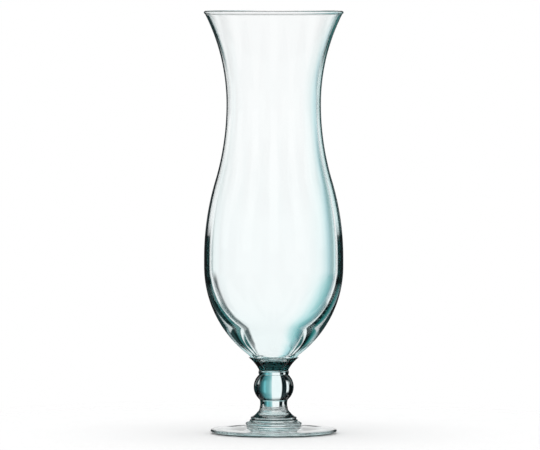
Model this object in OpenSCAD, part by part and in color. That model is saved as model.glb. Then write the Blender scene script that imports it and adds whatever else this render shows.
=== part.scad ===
// Hurricane glass: a tall waisted bowl on a short knopped stem and a stepped, flat foot.
// It is seven gathers of glass, each shaped apart and fused hot, face to face, onto the next.
// Millimetres, +Z up. The origin is the centre of the ring that the foot stands on.

/* [Foot] */
// Diameter of the foot
foot_d = 67.4; // [58:0.2:76]
// Thickness of the foot at its edge
foot_edge_t = 2.4; // [1.8:0.1:3.2]
// Rise of the foot's top, from its edge to its step
foot_rise = 1.3; // [0.8:0.1:2]
// Distance that the standing ring lies inside the foot's edge
stand_inset = 2.1; // [1.4:0.1:3]
// Width of the standing ring
stand_w = 2.4; // [1.5:0.1:4]
// Hollow under the middle of the foot
foot_hollow = 1.5; // [0.8:0.1:2]
// Height of the hollow flare at the bottom of the foot's step
foot_flare_h = 0.8; // [0.5:0.1:1.3]
// Width of that flare
foot_flare_w = 2.8; // [1.5:0.1:4]
// Height of the foot's own step, the lowest of the three
foot_step_h = 1.6; // [1.1:0.1:2.2]
// Distance that the foot's step stands out past the one above it
foot_step_w = 2.1; // [1.2:0.1:3]

/* [Stepped mount] */
// Diameter of the flat face where the mount is fused to the foot
mount_seat_d = 24.6; // [20:0.1:28]
// Height of the mount's lower step
lower_step_h = 1.6; // [1.1:0.1:2.2]
// Height of the mount's upper step
upper_step_h = 1.4; // [1:0.1:2]
// Distance that the upper step is drawn in from the lower one
upper_step_in = 0.6; // [0.3:0.1:1.2]
// Distance that a rounded step bulges past its ends
step_bulge = 0.55; // [0.3:0.05:0.8]
// Height of the flared cone between the steps and the collar
mount_flare_h = 2.3; // [1.6:0.1:3.2]
// Radius that the cone loses on its way up
mount_flare_in = 2.9; // [1.8:0.1:3.4]
// Depth of the cone's hollow curve
mount_flare_sag = 0.3; // [0.1:0.05:0.5]
// Height of the collar at the top of the mount
collar_h = 2.5; // [1.6:0.1:3.5]

/* [Neck] */
// Height of the neck between the mount and the knop
neck_h = 4.2; // [3:0.1:6]
// Diameter of both ends of the neck, and of what they are fused to
neck_d = 15; // [13:0.1:17]
// Depth of the neck's hollow curve
neck_sag = 0.3; // [0.1:0.05:0.6]

/* [Knop] */
// Diameter of the ball knop
knop_d = 21.4; // [19:0.1:26]
// Height that the knop would have if its ends weren't flat
knop_full_h = 19.2; // [16:0.1:24]

/* [Wafer] */
// Height of the thin wafer between the knop and the merese
wafer_h = 2.4; // [1.6:0.1:3.4]
// Diameter of both ends of the wafer, and of what they are fused to
wafer_d = 15.6; // [13:0.1:18]
// Distance that the wafer's rounded edge bulges past its ends
wafer_bulge = 0.35; // [0.15:0.05:0.6]

/* [Merese] */
// Height of the flared merese under the bowl
merese_h = 6.8; // [5:0.1:8.5]
// Diameter of the merese's sharp rim
merese_d = 26.8; // [24:0.1:31]
// Depth of the merese's hollow side
merese_sag = 0.5; // [0.2:0.05:0.9]
// Height of the slanting land on the merese's rim
merese_land_h = 0.3; // [0.1:0.05:0.5]
// Width of that land, outside the cup that holds the bowl
merese_land_w = 0.9; // [0.5:0.1:1.4]

/* [Bowl, outside] */
// Depth of the cup in which the bowl's round bottom is fused
seat_depth = 2.8; // [2:0.1:3.6]
// Height of the groove between the merese's rim and the bowl
groove_h = 1.1; // [0.7:0.1:1.6]
// Diameter of the bowl just above the groove
bowl_base_d = 27; // [25:0.1:31]
// Height of the bowl's round bottom, from the groove to the belly
bottom_h = 47.4; // [40:0.1:54]
// Height of the straight band round the belly
belly_band_h = 4.6; // [2:0.1:12]
// Diameter of the belly
belly_d = 74.4; // [66:0.2:86]
// Height from the belly's band to the waist
shoulder_h = 82; // [70:0.2:94]
// Diameter of the waist
waist_d = 50.4; // [44:0.2:58]
// Height from the waist to the top of the rim
flare_h = 49.8; // [42:0.2:58]
// Diameter of the mouth, over the rim
rim_d = 74.6; // [66:0.2:88]
// Thickness of the rounded bead on the rim
rim_bead_d = 1.9; // [1.7:0.1:2.6]

/* [Bowl, inside] */
// Thickness of the wall just under the rim's bead
rim_wall = 1.3; // [1:0.1:1.6]
// Thickness of the wall at the waist
waist_wall = 1.7; // [1.3:0.1:2.3]
// Thickness of the wall at the belly
belly_wall = 3.6; // [2.6:0.1:4.4]
// Thickness of the glass under the middle of the cavity
floor_t = 2.6; // [2:0.1:4]
// Radius of the cavity's round floor
floor_r = 12; // [8:0.2:15]

/* [Hidden] */

// Distance that a facet of an outline may leave the true arc
facet_gap = 0.004;
// Facets round the axis, in OpenSCAD's own mesh
$fn = 180;
// Points nearer than this are one point
same_point = 0.0001;
// Share of the way from the waist to the belly at which the wall's curve turns over
turnover_share = 0.5;
// Distance that the funnel's straight side runs in, as a share of the height that it drops
funnel_run_share = 0.91;
// Share of the foot's edge thickness at which the edge is widest
edge_widest_share = 0.54;
// Share of an edge's width by which its rounding stands off the straight line
edge_round_share = 0.2;
// Share of the foot's rise by which its top is dished
foot_dish_share = 0.15;

// Heights of the fused faces, from the foot up
foot_top_z = foot_edge_t + foot_rise + foot_flare_h + foot_step_h;
mount_top_z = foot_top_z + lower_step_h + upper_step_h + mount_flare_h + collar_h;
neck_top_z = mount_top_z + neck_h;
knop_bottom_drop = knop_full_h / 2 * sqrt(1 - pow(neck_d / knop_d, 2));
knop_top_rise = knop_full_h / 2 * sqrt(1 - pow(wafer_d / knop_d, 2));
knop_mid_z = neck_top_z + knop_bottom_drop;
knop_top_z = knop_mid_z + knop_top_rise;
wafer_top_z = knop_top_z + wafer_h;
merese_rim_z = wafer_top_z + merese_h;

// Edge of the cup between the merese and the bowl
seat_edge = [merese_d / 2 - merese_land_w, merese_rim_z + merese_land_h];

// Places up the bowl
bowl_base = [bowl_base_d / 2, seat_edge.y + groove_h];
belly_low_z = bowl_base.y + bottom_h;
belly_high_z = belly_low_z + belly_band_h;
waist_z = belly_high_z + shoulder_h;
glass_h = waist_z + flare_h;

// Radii that several pieces share
rim_bead_r = rim_bead_d / 2;
lower_step_r = mount_seat_d / 2;
upper_step_r = lower_step_r - upper_step_in;
foot_step_r = lower_step_r + foot_step_w;

// Centre of the rim's bead, the lean of the wall where it meets the bead, in degrees, and
// half the angle of the bead that the wall takes up
bead_centre = [rim_d / 2 - rim_bead_r, glass_h - rim_bead_r];
rim_lean = 2 * atan((bead_centre.x - waist_d / 2 + waist_wall / 2) / (bead_centre.y - waist_z));
bead_half_open = asin(rim_wall / rim_bead_d);

// The list of points from its end to its start
function backwards(points) = [for (i = [len(points) - 1 : -1 : 0]) points[i]];

// The outline without points that repeat the one before them
function without_repeats(points) =
    [for (i = [0 : len(points) - 1])
        if (i == 0 || norm(points[i] - points[max(i - 1, 0)]) > same_point) points[i]];

// How many facets an arc of that many degrees and that radius takes
function facets(angle, r) =
    max(2, ceil(abs(angle) / (2 * acos(1 - min(1, facet_gap / abs(r))))));

// Arc that leaves p straight up or down and ends at q
function rising_arc(p, q) =
    let (run = q - p,
         rho = run * run / (2 * run.x),
         turn = 2 * atan(run.x / run.y),
         n = facets(turn, rho))
    [for (i = [0 : n]) let (t = turn * i / n) p + rho * [1 - cos(t), sin(t)]];

// Double curve from p to q, upright at both ends, that turns over at a share of the way
function ogee(p, q, share) =
    let (turnover = p + share * (q - p))
    concat(rising_arc(p, turnover), backwards(rising_arc(q, turnover)));

// Arc from p to q that stands sag away from their chord, on the right of the way if sag is positive
function bowed_arc(p, q, sag) =
    let (chord = norm(q - p),
         rho = (chord * chord / 4 + sag * sag) / (2 * sag),
         half = 2 * atan(2 * sag / chord),
         along = (q - p) / chord,
         aside = [along.y, -along.x],
         n = facets(2 * half, rho))
    [for (i = [0 : n]) let (t = half * (2 * i / n - 1))
        (p + q) / 2 + rho * sin(t) * along + (rho * cos(t) - rho + sag) * aside];

// Round bowl of a surface that starts on the axis, depth below its edge, and rises to the edge
function dish(edge, depth) =
    let (rho = (edge.x * edge.x + depth * depth) / (2 * depth),
         turn = asin(edge.x / rho),
         n = facets(turn, rho))
    [for (i = [0 : n]) let (t = turn * i / n)
        [rho * sin(t), edge.y - depth + rho * (1 - cos(t))]];

// Arc of a circle from one angle to another
function circle_arc(centre, r, from, to) =
    let (n = facets(to - from, r))
    [for (i = [0 : n]) let (t = from + (to - from) * i / n) centre + r * [cos(t), sin(t)]];

// A solid of glass, turned from its outline
module turned_glass(outline) {
    color([0.72, 0.90, 0.90, 0.55])
        rotate_extrude()
            polygon(without_repeats(outline));
}

// Flat disc with a standing ring, a hollow underside and the lowest step
module foot() {
    foot_r = foot_d / 2;
    stand_out = [foot_r - stand_inset, 0];
    stand_in = [stand_out.x - stand_w, 0];
    widest = [foot_r, foot_edge_t * edge_widest_share];
    edge_top = [foot_r - foot_edge_t / 2, foot_edge_t];
    flare_foot = [foot_step_r + foot_flare_w, foot_edge_t + foot_rise];
    step_foot = [foot_step_r, flare_foot.y + foot_flare_h];
    step_top = [foot_step_r, foot_top_z];
    turned_glass(concat(
        [[0, foot_top_z]],
        [for (p = dish(stand_in, foot_hollow)) [p.x, -p.y]],
        [stand_out],
        bowed_arc(stand_out, widest, stand_inset * edge_round_share),
        bowed_arc(widest, edge_top, foot_edge_t * edge_round_share),
        bowed_arc(edge_top, flare_foot, -foot_rise * foot_dish_share),
        bowed_arc(flare_foot, step_foot, -foot_flare_h * edge_round_share),
        bowed_arc(step_foot, step_top, step_bulge)
    ));
}

// Two rounded steps, a flared cone and a collar that carries the neck
module stepped_mount() {
    lower_foot = [lower_step_r, foot_top_z];
    lower_top = [lower_step_r, lower_foot.y + lower_step_h];
    upper_foot = [upper_step_r, lower_top.y];
    upper_top = [upper_step_r, upper_foot.y + upper_step_h];
    cone_top = [upper_step_r - mount_flare_in, upper_top.y + mount_flare_h];
    turned_glass(concat(
        [[0, mount_top_z], [0, foot_top_z]],
        bowed_arc(lower_foot, lower_top, step_bulge),
        bowed_arc(upper_foot, upper_top, step_bulge),
        bowed_arc(upper_top, cone_top, -mount_flare_sag),
        backwards(rising_arc([neck_d / 2, mount_top_z], cone_top))
    ));
}

// Short neck with a hollow side
module neck() {
    foot_end = [neck_d / 2, mount_top_z];
    knop_end = [neck_d / 2, neck_top_z];
    turned_glass(concat(
        [[0, neck_top_z], [0, mount_top_z]],
        bowed_arc(foot_end, knop_end, -neck_sag)
    ));
}

// Ball that is a little flattened, with a flat end above and below
module ball_knop() {
    squash = knop_full_h / knop_d;
    from = -acos(neck_d / knop_d);
    to = acos(wafer_d / knop_d);
    turned_glass(concat(
        [[0, knop_top_z], [0, neck_top_z]],
        [for (p = circle_arc([0, 0], knop_d / 2, from, to)) [p.x, knop_mid_z + squash * p.y]]
    ));
}

// Thin button with a rounded edge
module wafer() {
    knop_end = [wafer_d / 2, knop_top_z];
    merese_end = [wafer_d / 2, wafer_top_z];
    turned_glass(concat(
        [[0, wafer_top_z], [0, knop_top_z]],
        bowed_arc(knop_end, merese_end, wafer_bulge)
    ));
}

// Flared collar with a sharp rim and a cup for the bowl's round bottom
module merese() {
    foot_end = [wafer_d / 2, wafer_top_z];
    rim = [merese_d / 2, merese_rim_z];
    turned_glass(concat(
        [[0, wafer_top_z]],
        bowed_arc(foot_end, rim, -merese_sag),
        backwards(dish(seat_edge, seat_depth))
    ));
}

// Where the wall's outside (side 1) or inside (side -1) meets the rim's bead
function bead_point(side) =
    let (angle = 270 - rim_lean + side * bead_half_open)
    bead_centre + rim_bead_r * [cos(angle), sin(angle)];

// Outside of the bowl, from the seat's edge up to the rim's bead
function bowl_outside() =
    let (belly_low = [belly_d / 2, belly_low_z],
         belly_high = [belly_d / 2, belly_high_z],
         waist = [waist_d / 2, waist_z])
    concat(
        backwards(rising_arc(belly_low, bowl_base)),
        backwards(ogee(waist, belly_high, turnover_share)),
        rising_arc(waist, bead_point(1))
    );

// Inside of the bowl, from the rim's bead down to the middle of the floor. The turn under the belly
// is as round as it has to be to run smoothly into the funnel's straight side.
function bowl_inside() =
    let (belly_in = belly_d / 2 - belly_wall,
         waist_in = [waist_d / 2 - waist_wall, waist_z],
         floor_centre = [0, seat_edge.y - seat_depth + floor_t + floor_r],
         lean = atan(funnel_run_share),
         turn_room = floor_r + (belly_low_z - floor_centre.y) * sin(lean) - belly_in * cos(lean),
         turn_r = turn_room / (1 - cos(lean)),
         turn_centre = [belly_in - turn_r, belly_low_z])
    concat(
        backwards(rising_arc(waist_in, bead_point(-1))),
        ogee(waist_in, [belly_in, belly_high_z], turnover_share),
        circle_arc(turn_centre, turn_r, 0, -lean),
        circle_arc(floor_centre, floor_r, -lean, -90)
    );

// Sum of a list of numbers
function total(values) = values * [for (v = values) 1];

// Volume of the cavity below the rim, in cubic millimetres, as a stack of cone slices
function cavity_volume() =
    let (p = bowl_inside())
    PI / 3 * total([for (i = [1 : len(p) - 1])
        (p[i - 1].y - p[i].y) * (pow(p[i].x, 2) + p[i].x * p[i - 1].x + pow(p[i - 1].x, 2))]);

// Blown bowl: round bottom, belly, waist, flared mouth with a beaded rim, and a funnel-shaped cavity
module bowl() {
    turned_glass(concat(
        dish(seat_edge, seat_depth),
        bowl_outside(),
        circle_arc(bead_centre, rim_bead_r,
            bead_half_open - 90 - rim_lean, 270 - rim_lean - bead_half_open),
        bowl_inside()
    ));
}

foot();
stepped_mount();
neck();
ball_knop();
wafer();
merese();
bowl();
echo(height = glass_h, brimful_volume = cavity_volume());
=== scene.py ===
# %% [markdown]
# # A hurricane glass, looked at against the light
#
# A hurricane glass is seven gathers of glass: a foot, a stepped mount, a neck, a ball, a wafer, a
# merese and a tall blown bowl. Each one was shaped apart and fused hot onto the next. The frame
# holds the seven solids at their real size. This lesson turns each of them again as a fine,
# soft-edged mesh, gives it real glass, and lights it the way that glass is lit: bright from behind,
# with dark edges to draw its outline. Those dark edges come partly from dark panels in the light
# and partly from painted shade in the colour of the glass.

# %% Load the frame
import math

import bpy
import numpy as np
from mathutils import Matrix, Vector


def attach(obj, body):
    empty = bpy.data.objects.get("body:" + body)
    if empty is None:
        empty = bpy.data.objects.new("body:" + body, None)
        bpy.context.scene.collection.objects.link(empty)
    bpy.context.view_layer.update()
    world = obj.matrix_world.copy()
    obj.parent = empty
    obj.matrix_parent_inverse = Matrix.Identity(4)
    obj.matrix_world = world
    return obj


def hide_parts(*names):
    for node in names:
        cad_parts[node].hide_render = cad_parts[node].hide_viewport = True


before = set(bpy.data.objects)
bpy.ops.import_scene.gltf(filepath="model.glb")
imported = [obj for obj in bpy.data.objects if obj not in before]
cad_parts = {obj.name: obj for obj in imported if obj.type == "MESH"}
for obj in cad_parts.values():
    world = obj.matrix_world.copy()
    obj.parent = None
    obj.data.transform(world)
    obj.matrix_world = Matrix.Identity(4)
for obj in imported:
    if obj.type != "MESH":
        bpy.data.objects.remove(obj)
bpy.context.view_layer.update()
MM = 0.001
print("nodes in the frame:", ", ".join(sorted(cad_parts)))

# %% [markdown]
# ## The outline of a turned piece
#
# Everything on this glass is round about one upright axis, so one outline says the whole shape of a
# piece. The outline could be typed in again here, but then two scripts would hold the same sizes.
# It is read from the frame instead: each corner of the frame's mesh is a radius and a height,
# corners that share both are one point of the outline, and the mesh's edges say which point comes
# next.

# %% Read an outline from the frame
SAME = 0.002 * MM  # points nearer than this are one point of an outline


def outline_of(node):
    """The outline of a turned piece, from where it starts on the axis to where it ends there."""
    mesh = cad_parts[node].data
    corners = np.array([v.co for v in mesh.vertices])
    places = np.column_stack([np.hypot(corners[:, 0], corners[:, 1]), corners[:, 2]])
    cells, cell_of = np.unique(np.round(places / SAME), axis=0, return_inverse=True)
    cell_of = cell_of.ravel()
    first = [int(np.flatnonzero(np.abs(cells - c).max(axis=1) <= 1)[0]) for c in cells]
    points = {k: Vector(cells[k]) * SAME for k in set(first)}
    beside = {k: set() for k in points}
    for edge in mesh.edges:
        one, other = (first[cell_of[i]] for i in edge.vertices)
        if one != other:
            beside[one].add(other)
            beside[other].add(one)
    ends = [k for k in beside if len(beside[k]) == 1]
    way = [min(ends, key=lambda k: points[k].y)]
    while onward := beside[way[-1]] - set(way[-2:]):
        way.append(onward.pop())
    line = [points[k] for k in way]
    if line[0].x > SAME:
        line.insert(0, Vector((0, line[0].y)))
    if line[-1].x > SAME:
        line.append(Vector((0, line[-1].y)))
    line[0].x = line[-1].x = 0
    return line


PIECES = ["foot", "stepped_mount", "neck", "ball_knop", "wafer", "merese", "bowl"]
outlines = {node: outline_of(node) for node in PIECES}
for node, line in outlines.items():
    start, end = line[0].y / MM, line[-1].y / MM
    print(f"{node}: {len(line)} points, from {start:.2f} mm to {end:.2f} mm on the axis")

# %% [markdown]
# ## Soft edges
#
# A furnace leaves no sharp edge on glass: the heat that fuses two gathers also rounds their
# corners, and the rounding is what catches the fine light line along each seam. A bevel modifier
# could round the mesh, but on an outline it is only a small arc at each corner, which stays even
# all the way round. The fused faces themselves run from the axis to the first corner, so that
# corner is looked for here as well.

# %% Round the corners of an outline
CORNER = math.radians(11)  # a bend of more than this is a corner
ARC_STEPS = 6  # stretches in one rounded corner
MOST_CUT = 0.45  # the share of a stretch that one rounded corner may take


def bend(a, b, c):
    """How far the way from a through b to c turns at b."""
    return (b - a).angle(c - b)


def softened(line, radius):
    """The outline with each corner rounded, by less where a stretch beside it is short."""
    soft = [line[0]]
    for a, b, c in zip(line, line[1:], line[2:]):
        turn = bend(a, b, c)
        if turn < CORNER:
            soft.append(b)
            continue
        back, on = (a - b), (c - b)
        cut = min(radius * math.tan(turn / 2), MOST_CUT * back.length, MOST_CUT * on.length)
        p, q = b + back.normalized() * cut, b + on.normalized() * cut
        for step in range(ARC_STEPS + 1):
            t = step / ARC_STEPS
            soft.append(p * (1 - t) ** 2 + b * (2 * t * (1 - t)) + q * t ** 2)
    soft.append(line[-1])
    return soft


def first_corner(line):
    """How many stretches of the outline come before its first corner."""
    for i in range(1, len(line) - 1):
        if bend(line[i - 1], line[i], line[i + 1]) > CORNER:
            return i
    return len(line) - 1


print("first corners:", {node: first_corner(line) for node, line in outlines.items()})

# %% [markdown]
# ## Turning a piece
#
# Blender's Screw modifier turns an outline too, but it can't say which of the new faces are fused
# to a neighbour. So the rings are laid by a short loop: one corner on the axis at each end, and a
# full ring for every point between. Faces in a fused seam get the value 1 in a face attribute
# called `fused`, which the glass reads later, and the two halves of a seam stay a hair apart so
# that they never flicker through each other.

# %% Turn an outline into a mesh
HAIR = 0.01 * MM  # each half of a fused seam stands back by this much
EDGE = 0.22 * MM  # how round the heat has made a corner
SHARP = math.radians(35)  # the shading breaks where faces meet at more than this


def turned(name, sharp_line, steps, fused_below, fused_above):
    """A closed mesh, turned from the outline, with its fused faces marked."""
    line = softened(sharp_line, EDGE)
    low = first_corner(sharp_line) if fused_below else 0
    high = len(line) - (first_corner(sharp_line[::-1]) if fused_above else 0)
    raised = [HAIR * (fused_below and i <= low) for i in range(len(line))]
    lowered = [HAIR * (fused_above and i >= high - 1) for i in range(len(line))]
    line = [Vector((p.x, p.y + up - down)) for p, up, down in zip(line, raised, lowered)]
    verts = [(0, 0, line[0].y)]
    angles = [math.tau * k / steps for k in range(steps)]
    for p in line[1:-1]:
        verts += [(p.x * math.cos(a), p.x * math.sin(a), p.y) for a in angles]
    verts.append((0, 0, line[-1].y))
    faces, fused = [], []
    rings = len(line) - 2
    for k in range(steps):
        n = (k + 1) % steps
        faces.append((0, 1 + n, 1 + k))
        fused.append(low > 0)
        for r in range(rings - 1):
            a, b = 1 + r * steps, 1 + (r + 1) * steps
            faces.append((a + k, a + n, b + n, b + k))
            fused.append(r + 1 < low or r + 2 > high)
        last = 1 + (rings - 1) * steps
        faces.append((last + k, last + n, len(verts) - 1))
        fused.append(fused_above)
    mesh = bpy.data.meshes.new(name)
    mesh.from_pydata(verts, [], faces)
    marks = mesh.attributes.new("fused", "FLOAT", "FACE")
    marks.data.foreach_set("value", [float(f) for f in fused])
    mesh.shade_smooth()
    mesh.set_sharp_from_angle(angle=SHARP)
    piece = bpy.data.objects.new(name, mesh)
    bpy.context.scene.collection.objects.link(piece)
    return piece


print(f"corners are rounded by up to {EDGE / MM:.2f} mm")

# %% [markdown]
# ## Wiring nodes
#
# The glasses and the light are both trees of nodes. Each node could be made and joined by hand,
# which takes three lines a time. A small class with a method for each thing that is needed again
# keeps the trees readable.

# %% Make the node helpers


class Wiring:
    """A node tree, with short ways to add to it. A value is a number, a colour or another node's output."""

    def __init__(self, tree):
        self.nodes, self.links = tree.nodes, tree.links

    def join(self, value, socket):
        """Put a value on a socket."""
        if isinstance(value, tuple):
            socket.default_value = (*value, 1)
        elif isinstance(value, (int, float)):
            socket.default_value = value
        else:
            self.links.new(value, socket)

    def new(self, kind, **values):
        """A node of a kind, with values on its sockets."""
        made = self.nodes.new("ShaderNode" + kind)
        for name, value in values.items():
            self.join(value, made.inputs[name.replace("_", " ")])
        return made

    def math(self, operation, *values, clamp=False):
        """The result of one Math node."""
        made = self.nodes.new("ShaderNodeMath")
        made.operation = operation
        made.use_clamp = clamp
        for socket, value in zip(made.inputs, values):
            self.join(value, socket)
        return made.outputs[0]

    def ease(self, value, start, end):
        """0 at start and before it, 1 at end and past it."""
        from_start = self.math("SUBTRACT", value, start)
        return self.math("DIVIDE", from_start, end - start, clamp=True)

    def both(self, *factors):
        """The product of some factors: 1 where all of them are 1."""
        product = factors[0]
        for factor in factors[1:]:
            product = self.math("MULTIPLY", product, factor)
        return product

    def distance(self, a, b):
        """How far a point at a and b lies from nought and nought."""
        return self.math("SQRT", self.math("ADD", self.math("POWER", a, 2), self.math("POWER", b, 2)))

    def ramp(self, value, stops):
        """The colour that a list of places and colours gives a value from 0 to 1."""
        made = self.new("ValToRGB", Fac=value)
        marks = made.color_ramp.elements
        marks.remove(marks[-1])
        marks[0].position = stops[0][0]
        marks[0].color = (*stops[0][1], 1)
        for place, colour in stops[1:]:
            marks.new(place).color = (*colour, 1)
        return made.outputs["Color"]

    def mixed(self, factor, a, b):
        """Colour a where the factor is 0, and colour b where it is 1."""
        made = self.nodes.new("ShaderNodeMix")
        made.data_type = "RGBA"
        self.join(factor, made.inputs["Factor"])
        color_a, color_b = (s for s in made.inputs if s.type == "RGBA")
        self.join(a, color_a)
        self.join(b, color_b)
        return next(s for s in made.outputs if s.type == "RGBA")


print("node helpers:", ", ".join(name for name in vars(Wiring) if not name.startswith("_")))

# %% [markdown]
# ## The glass
#
# Soda glass bends light by an index of 1.52 and takes a little red out of it, so a thick stem looks
# blue-green while a thin wall looks white. A tint on the surface would colour a thin wall as much
# as a thick one, so the colour is in the volume: Volume Absorption takes out more light the further
# a ray travels. The surface is one Principled BSDF with its transmission at 1. Fine noise keeps it
# from being a perfect mirror: the blown bowl is nearly flawless, and the pressed stem keeps a faint
# ripple from its mould.

# %% Make a glass
# the second colour is painted shade: near black, which the glass's colour turns to on dark slopes and lines
WHITE, PAINTED_SHADE = (1.0, 1.0, 1.0), (0.0002, 0.002, 0.002)
TINT = (0.12, 0.80, 0.83)
GLASS_IOR = 1.52
RIPPLE_DETAIL = 1.5


def glass(name, ripple, roughness, density, shine, painted_shade_where):
    """Clear glass with a ripple of a size and a depth, a blue-green tint, and painted shade on its slopes.
    """
    ripple_size, ripple_depth = ripple
    made = bpy.data.materials.new(name)
    made.use_nodes = True
    wires = Wiring(made.node_tree)
    surface = wires.nodes["Principled BSDF"]
    place = wires.new("TexCoord")
    ripples = wires.new(
        "TexNoise", Vector=place.outputs["Object"], Scale=1 / ripple_size, Detail=RIPPLE_DETAIL,
    )
    bump = wires.new("Bump", Height=ripples.outputs["Fac"], Strength=1, Distance=ripple_depth)
    seam = wires.new("Attribute")
    seam.attribute_name = "fused"
    for socket, value in (
        ("Transmission Weight", 1), ("IOR", GLASS_IOR), ("Specular Tint", (shine, shine, shine)),
        ("Normal", bump.outputs["Normal"]),
        ("Roughness", wires.math("MULTIPLY", ripples.outputs["Fac"], roughness)),
        ("Alpha", wires.math("SUBTRACT", 1, seam.outputs["Fac"])),
        # painted shade: the glass's colour goes from white to near black where the given mask says
        ("Base Color", wires.mixed(painted_shade_where(wires, place), WHITE, PAINTED_SHADE)),
    ):
        wires.join(value, surface.inputs[socket])
    depth = wires.new("VolumeAbsorption", Color=TINT, Density=density)
    wires.join(depth.outputs[0], wires.nodes["Material Output"].inputs["Volume"])
    print(f"{made.name}: {len(wires.nodes)} nodes")
    return made


# %% [markdown]
# ### Painted shade on slopes
#
# Real glass in front of a bright wall goes black where its skin turns away from the eye. A world
# made of a few panels can't do that for each slope of a stem at once, so shade is painted into the
# glass's colour on such slopes. Layer Weight measures them, as it does for a sheen. The other way
# would be a dark panel for each slope, but a panel that suits the ball spoils the neck. In most
# pieces only light that meets the skin from outside is darkened by the painted shade, so that what
# is bright inside the glass isn't lost on its way out.

# %% Measure a slope
ASLANT = (0.55, 0.80, 0.10)  # the least and the most lean of a slope, and how softly it ends


def coordinates(wires, place, kind):
    """The three parts of where a point of the skin is, or of which way the skin faces there."""
    return wires.new("SeparateXYZ", Vector=place.outputs[kind]).outputs


def met_from_outside(wires, place):
    """1 where light meets an outer skin from outside, and 0 everywhere else."""
    x, y = coordinates(wires, place, "Object")[:2]
    to_east, to_north = coordinates(wires, place, "Normal")[:2]
    outward = wires.math("ADD", wires.both(x, to_east), wires.both(y, to_north))
    return wires.math("GREATER_THAN", outward, 0)


def turning_away(wires, start, end):
    """0 where the skin faces the eye, and 1 where it has turned away."""
    slant = wires.new("LayerWeight", Blend=0.5)
    return wires.ease(slant.outputs["Facing"], start, end)


def band(wires, value, from_value, to_value, fade):
    """1 between two values, and 0 a little way outside them."""
    enough = wires.ease(value, from_value - fade, from_value)
    return wires.both(enough, wires.ease(value, to_value + fade, to_value))


def lean_of(wires, place):
    """0 where the skin is upright, and 1 where it is flat."""
    return wires.math("ABSOLUTE", coordinates(wires, place, "Normal")["Z"])


def sloping(wires, place):
    """1 where the skin lies aslant, as on the rounded edges of a step."""
    return band(wires, lean_of(wires, place), *ASLANT)


print("a slope leans from", ASLANT[0], "to", ASLANT[1])

# %% [markdown]
# ### The glass of the bowl
#
# The bowl is blown, so its ripple is long and shallow. Its thick wall is painted black round the
# widest part only, and a thin dark line is painted along the rounded rim; both are painted shade. A
# torus laid on the rim would draw that line too, but it would be one more piece that the real glass
# doesn't have.

# %% Melt the glass of the bowl
# the turns and heights below say where shade is painted on the bowl
BELLY_TURN = (0.585, 0.615)  # here and below: how far the skin turns where the dark begins and is full
BELLY_HEIGHTS = (81 * MM, 106 * MM, 9 * MM)  # from, to, and how softly the dark ends
RIM_TOP = (225.2 * MM, 225.5 * MM)  # the rim's line comes in between these heights
RIM_SHARE = 0.8  # how dark the rim's line is


def bowl_painted_shade(wires, place):
    """Painted shade: the thick wall round the widest part, and a thin line along the top of the rim."""
    height = coordinates(wires, place, "Object")["Z"]
    belly = wires.both(turning_away(wires, *BELLY_TURN), band(wires, height, *BELLY_HEIGHTS))
    rim = wires.both(wires.ease(height, *RIM_TOP), RIM_SHARE)
    return wires.both(met_from_outside(wires, place), wires.math("MAXIMUM", belly, rim))


bowl_glass = glass(
    "bowl_glass", ripple=(14 * MM, 0.002 * MM), roughness=0.01, density=9, shine=0.4, painted_shade_where=bowl_painted_shade,
)

# %% [markdown]
# ### The glass of the cup
#
# The merese holds the bowl in a cup of thick glass. Seen against the light it is the darkest piece
# of all, but for a pale band under its rim. Black glass would lose the band as well, so this is
# clear glass with shade painted on its slopes and below the band.

# %% Melt the glass of the cup
CUP_TURN = (0.36, 0.50)
# below this band the cup's colour is painted shade
CUP_BAND_END = (39.6 * MM, 39.1 * MM)  # the pale band goes over into black between these heights


def cup_painted_shade(wires, place):
    """Painted shade over all of the cup but a band under its rim."""
    under_band = wires.ease(coordinates(wires, place, "Object")["Z"], *CUP_BAND_END)
    dark = wires.math("MAXIMUM", turning_away(wires, *CUP_TURN), under_band)
    return wires.both(met_from_outside(wires, place), dark)


cup_glass = glass(
    "cup_glass", ripple=(5 * MM, 0.006 * MM), roughness=0.02, density=9, shine=0.2, painted_shade_where=cup_painted_shade,
)

# %% [markdown]
# ### The glass of the stem
#
# The neck, the ball and the wafer are solid glass that shows black sides and a bright middle; the
# black is painted shade on their slopes. Their black lines are the deepest of all. A sharper turn from
# light to dark would look drawn on, so the painted shade darkens light softly instead, on its way in
# and again on its way out.

# %% Melt the glass of the stem
STEM_TURN = (0.30, 0.45)


def stem_painted_shade(wires, place):
    """Painted shade on the sides of the ball, the neck and the wafer."""
    return turning_away(wires, *STEM_TURN)


stem_glass = glass(
    "stem_glass", ripple=(5 * MM, 0.006 * MM), roughness=0.02, density=9, shine=0.4, painted_shade_where=stem_painted_shade,
)

# %% [markdown]
# ### The glass of the mount
#
# The mount's two steps show as hard dark lines, one for each rounded edge, painted as shade into
# the glass's colour. The edges are found by how far the skin leans. Painting them by height alone
# would darken the flat tops between them as well.

# %% Melt the glass of the mount
MOUNT_TURN = (0.40, 0.52)
STEPS_TOP = (10.5 * MM, 10.2 * MM)  # the steps lie below these heights, and the flare above them


def mount_painted_shade(wires, place):
    """Painted shade on the sides of the flare, and on the edges of the steps."""
    low = wires.ease(coordinates(wires, place, "Object")["Z"], *STEPS_TOP)
    edges = wires.both(sloping(wires, place), low)
    dark = wires.math("MAXIMUM", turning_away(wires, *MOUNT_TURN), edges)
    return wires.both(met_from_outside(wires, place), dark)


mount_glass = glass(
    "mount_glass", ripple=(5 * MM, 0.006 * MM), roughness=0.02, density=3, shine=1.0, painted_shade_where=mount_painted_shade,
)

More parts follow.
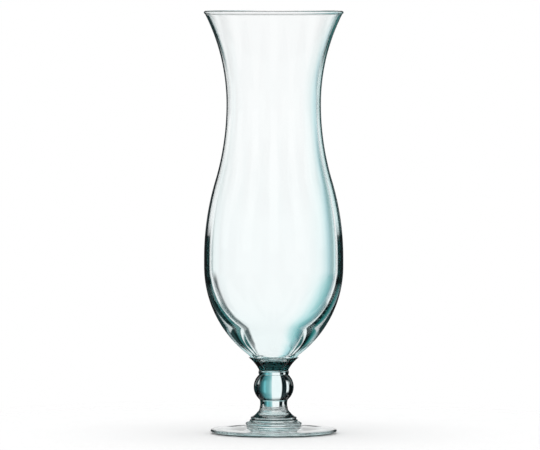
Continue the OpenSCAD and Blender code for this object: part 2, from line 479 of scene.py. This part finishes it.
# %% [markdown]
# ### The glass of the foot
#
# The foot is thin and nearly white. Only the lower half of its edge, its two tips and the edges of
# its own step are dark, with painted shade. A dark ring laid round it could draw the edge, but it
# would be a piece that isn't there. The tint is weak, because light crosses the foot the long way.

# %% Melt the glass of the foot
FOOT_TURN = (0.50, 0.80)
# the radii and heights below say where shade is painted on the foot
FOOT_EDGE_FROM = (32.4 * MM, 32.9 * MM)  # the edge begins between these radii
FOOT_EDGE_TOP = (1.3 * MM, 0.8 * MM)  # and is dark below these heights
FOOT_STEP_FROM = (3.0 * MM, 3.2 * MM)  # the foot's own step begins between these heights


def foot_painted_shade(wires, place):
    """Painted shade on the far left and right of the foot, the lower half of its edge, and the edges of its
    step.
    """
    x, y, z = coordinates(wires, place, "Object")
    upright = wires.math("SUBTRACT", 1, lean_of(wires, place))
    tips = wires.both(turning_away(wires, *FOOT_TURN), upright)
    edge = wires.both(wires.ease(wires.distance(x, y), *FOOT_EDGE_FROM), wires.ease(z, *FOOT_EDGE_TOP))
    step = wires.both(sloping(wires, place), wires.ease(z, *FOOT_STEP_FROM))
    dark = wires.math("MAXIMUM", tips, wires.math("MAXIMUM", edge, step))
    return wires.both(met_from_outside(wires, place), dark)


foot_glass = glass(
    "foot_glass", ripple=(8 * MM, 0.006 * MM), roughness=0.02, density=4, shine=1.0, painted_shade_where=foot_painted_shade,
)

# %% [markdown]
# ## The seven pieces
#
# Each piece replaces its solid in the frame and rides with the body of the part. The seams between
# them are marked fused, so light goes straight through them as it does in the real thing, where the
# two glasses have become one. One mesh for the whole glass would look the same, but then no piece
# could be changed or reused.

# %% Turn the pieces
FINE, COARSE = 320, 192  # faces round a wide piece, and round a slim one
GLASS = {"bowl": bowl_glass, "merese": cup_glass, "stepped_mount": mount_glass, "foot": foot_glass}
for i, node in enumerate(PIECES):
    steps = FINE if node in ("bowl", "foot") else COARSE
    piece = turned(node + "_glass", outlines[node], steps, i > 0, node != "bowl")
    piece.data.materials.append(GLASS.get(node, stem_glass))
    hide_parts(node)
    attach(piece, "root")
    print(f"{piece.name}: {len(piece.data.polygons)} faces")

# %% [markdown]
# ## The floor
#
# The glass stands on a plain pale floor. It is a disc that fades out at its edge, so it runs into
# the white background with no line and still takes the faint shadow of the glass. A big square
# plane could lie there as well, but its far edge would show through the bowl as a grey line. For
# the same reason, light that comes through the glass meets a smaller disc.

# %% Lay the floor
FLOOR_WHITE = (0.93, 0.93, 0.93)
FLOOR_DROP = 0.02 * MM  # keeps the floor from flickering through the foot
FADE_BEGINS = (0.034, 0.10)  # radii for light that has met the glass, and for plain view
FADE_ENDS = (0.044, 0.26)
bpy.ops.mesh.primitive_circle_add(vertices=128, radius=0.5, fill_type="NGON", location=(0, 0, -FLOOR_DROP))
floor = bpy.context.object
floor.name = "floor"
paint = bpy.data.materials.new("floor_paint")
paint.use_nodes = True
wires = Wiring(paint.node_tree)
surface = wires.nodes["Principled BSDF"]
x, y = coordinates(wires, wires.new("TexCoord"), "Object")[:2]
seen = wires.new("LightPath").outputs["Is Camera Ray"]
fade_ends = {
    name: wires.new("MapRange", Value=seen, To_Min=in_glass, To_Max=in_view).outputs["Result"]
    for name, (in_glass, in_view) in (("From_Min", FADE_BEGINS), ("From_Max", FADE_ENDS))
}
fade = wires.new("MapRange", Value=wires.distance(x, y), To_Min=1, To_Max=0, **fade_ends)
fade.interpolation_type = "SMOOTHSTEP"
for socket, value in (
    ("Base Color", FLOOR_WHITE), ("Roughness", 0.9), ("Specular IOR Level", 0),
    ("Alpha", fade.outputs["Result"]),
):
    wires.join(value, surface.inputs[socket])
floor.data.materials.append(paint)
print("floor:", len(floor.data.vertices), "corners")

# %% [markdown]
# ## The light
#
# Clear glass has no colour of its own to light. What draws it is what stands round it: a white
# panel straight behind it fills its middle, and dark panels beside that one bend into its edges as
# black lines. A lamp could stand for each panel, but a world that gives each direction its colour
# is simpler and has no noise. It is the same every quarter turn, so the glass is drawn as well from
# its sides and back as from the front. The camera itself sees plain white.

# %% Make the world
world = bpy.data.worlds.new("studio")
bpy.context.scene.world = world
world.use_nodes = True
wires = Wiring(world.node_tree)
wires.nodes.clear()
print("world:", world.name)

# %% Find the direction of the light
QUARTER = 90
FIRST = -50  # a quarter runs from 50 degrees left of straight behind to 40 degrees right of it
TO_DEGREES = 180 / math.pi
place = wires.new("TexCoord")
east, north, up = wires.new("SeparateXYZ", Vector=place.outputs["Generated"]).outputs
degrees = wires.math("MULTIPLY", wires.math("ARCTAN2", east, north), TO_DEGREES)
into_quarter = wires.math("FLOORED_MODULO", wires.math("SUBTRACT", degrees, FIRST), QUARTER)
share = wires.math("DIVIDE", into_quarter, QUARTER)
aside = wires.math("ADD", wires.math("MULTIPLY", share, QUARTER), FIRST)
height = wires.math("MULTIPLY", wires.math("ARCSINE", up), TO_DEGREES)
print(f"a quarter runs from {FIRST} to {FIRST + QUARTER} degrees")


def panels(*stops):
    """Colours round the quarter, given at angles left and right of straight behind."""
    return wires.ramp(share, [((angle - FIRST) / QUARTER, colour) for angle, colour in stops])


# %% [markdown]
# ### Light that comes straight through
#
# Light that only bends, and never bounces inside the glass, sees a white window straight behind, a
# black panel to the left of it, and a cloth to the right that falls off through teal to black. The
# thin bowl bends light little and shows mostly the window and the cloth. The solid ball and neck
# bend it far and show every panel. The number of surfaces that the light has come through tells the
# two apart: four for the bowl, two for a solid piece. Only the far wall of the mouth, seen from
# above over the near rim, is thin and has two as well. A low white window half way between two sets
# of panels keeps that wall bright from an eighth of a turn aside.

# %% Paint the panels
BLACK = (0.004, 0.010, 0.012)
bowl_level = panels(
    (-50, WHITE), (3, WHITE), (6, (0.88, 0.97, 0.97)), (9, (0.60, 0.82, 0.84)), (11, (0.46, 0.73, 0.76)),
    (13, (0.36, 0.65, 0.69)), (15, (0.26, 0.54, 0.58)), (17, (0.08, 0.22, 0.24)), (24, (0.04, 0.14, 0.16)),
    (33, (0.04, 0.14, 0.16)), (36, WHITE),
)
bowl_mid = panels(
    (-50, WHITE), (-31, WHITE), (-29, (0.04, 0.12, 0.11)), (-23, (0.06, 0.18, 0.17)), (-18, WHITE),
    (3, WHITE), (6, (0.92, 0.98, 0.98)), (9, (0.68, 0.86, 0.88)), (11, (0.36, 0.58, 0.62)),
    (13, (0.17, 0.37, 0.39)), (16, (0.10, 0.30, 0.30)), (18, (0.16, 0.40, 0.40)),
    (20, (0.46, 0.80, 0.80)), (23, (0.40, 0.66, 0.66)), (28, (0.08, 0.16, 0.16)),
    (36, (0.08, 0.16, 0.16)), (39, WHITE),
)
bowl_low = panels(
    (-50, WHITE), (-26.5, WHITE), (-25, BLACK), (-15.5, BLACK), (-12.5, WHITE), (3, WHITE),
    (5, (0.90, 0.97, 0.97)), (7, (0.64, 0.85, 0.86)), (10, (0.36, 0.66, 0.67)), (13, (0.18, 0.48, 0.50)),
    (17, (0.08, 0.30, 0.33)), (22, (0.05, 0.20, 0.23)), (26, (0.02, 0.09, 0.10)), (28.5, WHITE),
)
solid_level = panels(
    (-50, BLACK), (-40, BLACK), (-38.5, WHITE), (-31, WHITE), (-29.5, BLACK), (-18, BLACK), (-16.5, WHITE),
    (3, WHITE), (5, (0.45, 0.68, 0.70)), (10, (0.22, 0.46, 0.48)), (15, (0.14, 0.40, 0.42)),
    (19, (0.20, 0.58, 0.62)), (23, (0.08, 0.28, 0.30)), (28, (0.03, 0.12, 0.13)), (36, BLACK),
)
solid_aslant = panels(
    (-50, BLACK), (-18, BLACK), (-16.5, WHITE), (3, WHITE), (5, (0.36, 0.60, 0.62)),
    (10, (0.16, 0.38, 0.40)), (19, (0.07, 0.26, 0.28)), (25, (0.03, 0.12, 0.13)), (32, BLACK),
)
print("nodes in the world so far:", len(wires.nodes))

# %% Hang the panels
LEVEL_TO_MID = (-1.65, -2.35)  # where one row of panels goes over into the next, by height in degrees
MID_TO_LOW = (-4, -8)
LOW_TO_FLOOR = (-40, -46)
SOLID_DROP = 3  # the panels for solid pieces have their middle this far below level
LEVEL_TO_ASLANT = (11, 17)  # counted both ways from that middle
THIRD = (2, 3)  # for a count: 0 up to the second time, and 1 from the third time on
FAR_WINDOW_LEFT = 2
FAR_WINDOW_ASIDE = (38, 41)  # counted both ways from that far left of straight behind
FAR_WINDOW_HEIGHT = (-7, -11)
path = wires.new("LightPath")
bounces = path.outputs["Glossy Depth"]
through_bowl = wires.ease(path.outputs["Transmission Depth"], *THIRD)
off_level = wires.math("ABSOLUTE", wires.math("ADD", height, SOLID_DROP))
solid = wires.mixed(wires.ease(off_level, *LEVEL_TO_ASLANT), solid_level, solid_aslant)
far_aside = wires.math("ABSOLUTE", wires.math("ADD", aside, FAR_WINDOW_LEFT))
far_window = wires.both(wires.ease(far_aside, *FAR_WINDOW_ASIDE), wires.ease(height, *FAR_WINDOW_HEIGHT))
solid = wires.mixed(far_window, solid, WHITE)
under_level = wires.mixed(wires.ease(height, *MID_TO_LOW), bowl_mid, bowl_low)
thin = wires.mixed(wires.ease(height, *LEVEL_TO_MID), bowl_level, under_level)
straight = wires.mixed(through_bowl, solid, thin)
straight = wires.mixed(wires.ease(height, *LOW_TO_FLOOR), straight, WHITE)
print("nodes in the world so far:", len(wires.nodes))

# %% [markdown]
# ### Light that is turned back inside the glass
#
# In a thick wall, light meets the inner face at a slant and is thrown back: the wall acts as a
# mirror. On the real glass these walls are the darkest part, with one bright line along the edge of
# the drink space. So light that has bounced sees a darker studio. Low down it is an oval black
# panel behind the glass, with white round its edge. Level with the eye the black panel is narrower,
# and the thin wall of the upper bowl shows only a hairline of it.

# %% Paint the dark oval
OVAL_ACROSS, OVAL_UP = 38, 60  # half the width and half the height of the dark oval, in degrees
across, upward = wires.math("DIVIDE", aside, OVAL_ACROSS), wires.math("DIVIDE", height, OVAL_UP)
out_from_middle = wires.distance(across, upward)
dark_left = wires.ramp(out_from_middle, [
    (0.00, (0.004, 0.010, 0.011)), (0.25, (0.008, 0.020, 0.021)), (0.38, (0.030, 0.060, 0.060)),
    (0.50, (0.012, 0.050, 0.050)), (0.60, (0.002, 0.012, 0.012)), (0.73, (0.001, 0.006, 0.006)),
    (0.81, (0.040, 0.150, 0.150)), (0.92, (0.055, 0.200, 0.200)), (0.99, (0.030, 0.120, 0.120)),
])
dark_right = wires.ramp(out_from_middle, [
    (0.00, (0.80, 0.90, 0.92)), (0.20, (0.62, 0.80, 0.82)), (0.38, (0.26, 0.50, 0.52)),
    (0.52, (0.06, 0.31, 0.30)), (0.66, (0.012, 0.150, 0.145)), (0.78, (0.002, 0.020, 0.020)),
    (0.92, (0.001, 0.003, 0.003)),
])
print(f"dark oval: {2 * OVAL_ACROSS} degrees wide and {2 * OVAL_UP} high")

# %% Fit the oval into the studio
LEFT_TO_RIGHT = (-5, 6)  # degrees aside where the left half of the oval goes over into the right
EDGE_FROM = (1.01, 1.06)  # the white edge comes in just outside the oval, as a share of its size
EDGE_ASIDE = (12, 20)  # and only this far aside
LEAN_SHARE = 0.55  # the white below the oval widens by this much for each degree further down
LEAN_ENDS = (-3, -5)
LOW = (-14, -18)
CORNER_ASIDE = (35, 39)
CORNER_LOW = (-25, -29)
CORNER_TEAL = (0.04, 0.14, 0.14)
oval = wires.mixed(wires.ease(aside, *LEFT_TO_RIGHT), dark_left, dark_right)
out_aside = wires.math("ABSOLUTE", aside)
round_edge = wires.both(wires.ease(out_from_middle, *EDGE_FROM), wires.ease(out_aside, *EDGE_ASIDE))
oval = wires.mixed(round_edge, oval, WHITE)
leaning = wires.math("ADD", out_aside, wires.math("MULTIPLY", height, LEAN_SHARE))
below = wires.both(wires.ease(leaning, *LEAN_ENDS), wires.ease(height, *LOW))
oval = wires.mixed(below, oval, WHITE)
corner = wires.both(wires.ease(out_aside, *CORNER_ASIDE), wires.ease(height, *CORNER_LOW))
oval = wires.mixed(corner, oval, CORNER_TEAL)
print("nodes in the world so far:", len(wires.nodes))

# %% Darken the light that has bounced
level = panels(
    (-50, WHITE), (-22, WHITE), (-19, BLACK), (-9, BLACK), (-4, (0.30, 0.36, 0.37)),
    (2, (0.60, 0.70, 0.71)), (8, (0.40, 0.55, 0.56)), (12, (0.06, 0.12, 0.12)),
    (15, (0.01, 0.05, 0.05)), (20, (0.03, 0.09, 0.09)), (23, (0.50, 0.75, 0.76)),
    (26, (0.80, 0.96, 0.96)), (38, (0.75, 0.93, 0.94)), (39, WHITE),
)
LEVEL_TO_OVAL = (-6.5, -10)  # heights in degrees
LEVEL_TO_PALE = (1, 6)
PALE_TO_BRIGHT = (6, 9)
PALE, BRIGHT = (0.45, 0.58, 0.58), (0.92, 0.97, 0.97)
LOST_DARK, LOST_BRIGHT = (0.020, 0.045, 0.045), (0.90, 0.97, 0.97)  # light that bounced three times or more
LOST_ENDS = (12, 20)  # it goes from dark to bright between these, above and below level
BETWEEN_WALLS = (0.90, 0.95, 0.96)  # what the walls of the bowl throw to each other
BETWEEN_FROM = (-22, -14)
turned_back = wires.mixed(wires.ease(height, *LEVEL_TO_OVAL), level, oval)
turned_back = wires.mixed(wires.ease(height, *LEVEL_TO_PALE), turned_back, PALE)
turned_back = wires.mixed(wires.ease(height, *PALE_TO_BRIGHT), turned_back, BRIGHT)
out_of_level = wires.math("ABSOLUTE", height)
lost = wires.mixed(wires.ease(out_of_level, *LOST_ENDS), LOST_DARK, LOST_BRIGHT)
turned_back = wires.mixed(wires.ease(bounces, *THIRD), turned_back, lost)
between_walls = wires.both(through_bowl, wires.ease(height, *BETWEEN_FROM))
turned_back = wires.mixed(between_walls, turned_back, BETWEEN_WALLS)
print("nodes in the world so far:", len(wires.nodes))

# %% [markdown]
# ### The rest of the studio
#
# The ceiling is dark for light that came straight through, and white for light that bounced. The
# outer skin mirrors a dim room with a tall window at each eighth of a turn. The floor is lit evenly
# from all round.

# %% Put the studio together
CEILING = (22, 34)  # between these heights, in degrees, the walls go over into the ceiling
DARK = (0.010, 0.018, 0.020)
FRONT = (0.030, 0.036, 0.038)  # the dim room that the glass mirrors in its skin
HALF_EIGHTH = 22.5
WINDOW_HALF = (10, 6)  # degrees from the middle of a window where it is gone, and where it is full
WINDOW_FOOT = (0, 1.5)
FLOOR_LIGHT = (0.9, 0.9, 0.9)
has_bounced = wires.math("MINIMUM", bounces, 1)
walls = wires.mixed(has_bounced, straight, turned_back)
overhead = wires.mixed(has_bounced, DARK, WHITE)
walls = wires.mixed(wires.ease(height, *CEILING), walls, overhead)
glossy, transmitted = path.outputs["Is Glossy Ray"], path.outputs["Is Transmission Ray"]
in_skin = wires.math("SUBTRACT", glossy, transmitted, clamp=True)
off_window = wires.math("PINGPONG", degrees, HALF_EIGHTH)
window = wires.both(wires.ease(off_window, *WINDOW_HALF), wires.ease(height, *WINDOW_FOOT))
walls = wires.mixed(in_skin, walls, wires.mixed(window, FRONT, WHITE))
walls = wires.mixed(wires.math("MINIMUM", path.outputs["Diffuse Depth"], 1), walls, FLOOR_LIGHT)
shine = wires.new("Background", Color=wires.mixed(path.outputs["Is Camera Ray"], walls, WHITE))
wires.new("OutputWorld", Surface=shine.outputs[0])
print("nodes in the world:", len(wires.nodes))

# %% [markdown]
# ### The shadow
#
# Under the real glass lies only a faint grey shadow. A sun lamp would draw it with a hard edge, so
# a square soft box hangs high above the glass. It lights the floor, and the glass neither mirrors
# it nor shows it.

# %% Hang the soft box
box = bpy.data.lights.new("soft_box", "AREA")
box.shape = "RECTANGLE"
box.size, box.size_y = 1.0, 1.0
box.energy = 6
lamp = bpy.data.objects.new("soft_box", box)
lamp.visible_glossy = lamp.visible_transmission = False
lamp.location = (0, 0, 1.6)
bpy.context.scene.collection.objects.link(lamp)
print("soft box:", box.energy, "watts")

# %% [markdown]
# ## The camera
#
# In the photograph the rim is a flat line and the foot opens only a little, so the camera stands
# some three metres off, with its eye just over the height of the rim. Close up, a short lens could
# frame the glass as well, but it would open the foot too far. A long lens brings the glass to the
# size that it has there.

# %% Set the camera
PX = 0.534 * MM  # real size of one pixel at the glass
AXIS_PX = (273.7, 433.8)  # where the middle of the glass's base lies
FRAME_PX = (540, 450)
FAR = 3.2  # metres from the camera to the middle of the picture
TILT = math.radians(2.35)  # how far down the camera looks
aim = Vector(((FRAME_PX[0] / 2 - AXIS_PX[0]) * PX, 0, (AXIS_PX[1] - FRAME_PX[1] / 2) * PX))
lens = bpy.data.cameras.new("camera")
lens.sensor_width = 36
lens.lens = lens.sensor_width * FAR / (FRAME_PX[0] * PX)
lens.clip_end = 50
camera = bpy.data.objects.new("camera", lens)
camera.location = aim + FAR * Vector((0, -math.cos(TILT), math.sin(TILT)))
camera.rotation_euler = (aim - camera.location).to_track_quat("-Z", "Y").to_euler()
bpy.context.scene.collection.objects.link(camera)
bpy.context.scene.camera = camera
print(f"camera: {lens.lens:.0f} mm lens, {camera.location.z / MM:.0f} mm above the floor")

# %% [markdown]
# ## Depth of the light
#
# A ray can cross the bowl, the cup and the stem in turn, and each of them has two skins. With the
# usual few bounces such a ray would end in black, so it gets enough of them to come out again. The
# Standard view keeps the ground white, where one that is like film would turn it grey.

# %% Let light travel far enough
view = bpy.context.scene.view_settings
view.view_transform = "Standard"
cycles = bpy.context.scene.cycles
cycles.max_bounces = 32
cycles.transmission_bounces = 32
cycles.transparent_max_bounces = 48
cycles.glossy_bounces = 16
print("bounces of light:", cycles.max_bounces)

# %% [markdown]
# ## The two sizes
#
# The meshes should be as big as the solids that they replace.
